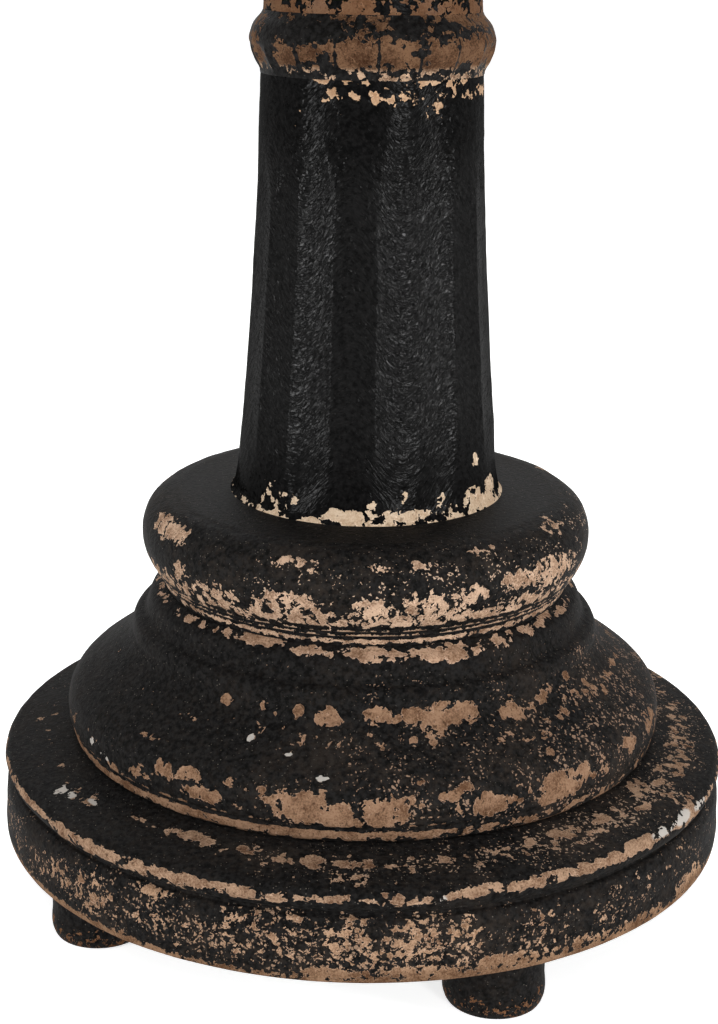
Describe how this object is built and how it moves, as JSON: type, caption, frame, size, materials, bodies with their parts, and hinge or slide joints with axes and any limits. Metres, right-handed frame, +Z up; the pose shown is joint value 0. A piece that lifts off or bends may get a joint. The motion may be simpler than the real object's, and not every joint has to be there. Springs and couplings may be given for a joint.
{
  "type": "table lamp",
  "caption": "Table lamp with a turned and fluted wooden column in worn black paint, on a round moulded base with peg feet, with a plain fabric shade.",
  "frame": {"origin": "on the table, under the middle of the lamp", "axes": "+Z up along the column, -Y to the front as pictured, +X to the right"},
  "size_m": [0.3711, 0.3712, 0.6932],
  "materials": {
    "black_painted_wood": "worn satin black paint, chipped to tan wood on the edges",
    "zinc_plated_steel": "zinc plated",
    "dark_brass": "aged brass",
    "black_plastic": "matt",
    "insulating_card": "matt",
    "aluminium_sheet": "bright",
    "opal_glass": "opal",
    "white_wire": "white powder coat",
    "linen": "plain weave",
    "white_film": "matt",
    "linen_tape": "plain weave"
  },
  "bodies": {
    "lamp": {"foot_front_right": "black_painted_wood", "foot_front_left": "black_painted_wood", "foot_back_right": "black_painted_wood", "foot_back_left": "black_painted_wood", "plinth_lower": "black_painted_wood", "plinth_upper": "black_painted_wood", "base_moulding": "black_painted_wood", "base_torus": "black_painted_wood", "shaft_lower": "black_painted_wood", "collar_ring": "black_painted_wood", "shaft_upper": "black_painted_wood", "capital_bead": "black_painted_wood", "capital": "black_painted_wood", "top_cap": "black_painted_wood", "lamp_pipe": "zinc_plated_steel", "base_washer": "zinc_plated_steel", "lock_washer": "zinc_plated_steel", "base_nut": "zinc_plated_steel", "saddle_nut": "zinc_plated_steel", "cord_bushing": "black_plastic", "check_ring": "dark_brass", "neck_tube": "dark_brass", "harp_saddle": "dark_brass", "holder_cap": "dark_brass", "holder_core": "black_plastic", "holder_insulator": "insulating_card", "holder_shell": "dark_brass", "screw_shell": "aluminium_sheet", "centre_contact": "dark_brass"},
    "knob": {"switch_knob": "black_plastic"},
    "bulb": {"bulb_cap": "aluminium_sheet", "bulb_glass": "opal_glass"},
    "harp_loop": {"harp": "dark_brass", "harp_stud": "dark_brass"},
    "sleeve_front": {"harp_sleeve_front": "dark_brass"},
    "sleeve_back": {"harp_sleeve_back": "dark_brass"},
    "shade": {"shade_spider": "white_wire", "shade_top_ring": "white_wire", "shade_bottom_ring": "white_wire", "shade_cover": "linen", "shade_liner": "white_film", "shade_top_trim": "linen_tape", "shade_bottom_trim": "linen_tape"},
    "finial_knob": {"finial": "dark_brass"}
  },
  "joints": [
    {"name": "switch_turn", "type": "hinge", "parent": "lamp", "child": "knob", "pos_m": [0, 0, 0.458], "axis": [1, 0, 0], "continuous": true},
    {"name": "bulb_screw", "type": "hinge", "parent": "lamp", "child": "bulb", "pos_m": [0, 0, 0.4664], "axis": [0, 0, 1], "continuous": true},
    {"name": "harp_lift", "type": "slide", "parent": "lamp", "child": "harp_loop", "axis": [0, 0, 1], "range_m": [0, 0.018]},
    {"name": "sleeve_front_lift", "type": "slide", "parent": "harp_loop", "child": "sleeve_front", "axis": [0, 0, 1], "range_m": [0, 0.012]},
    {"name": "sleeve_back_lift", "type": "slide", "parent": "harp_loop", "child": "sleeve_back", "axis": [0, 0, 1], "range_m": [0, 0.012]},
    {"name": "shade_turn", "type": "hinge", "parent": "harp_loop", "child": "shade", "pos_m": [0, 0, 0.6596], "axis": [0, 0, 1], "continuous": true},
    {"name": "finial_screw", "type": "hinge", "parent": "harp_loop", "child": "finial_knob", "pos_m": [0, 0, 0.6612], "axis": [0, 0, 1], "continuous": true}
  ]
}
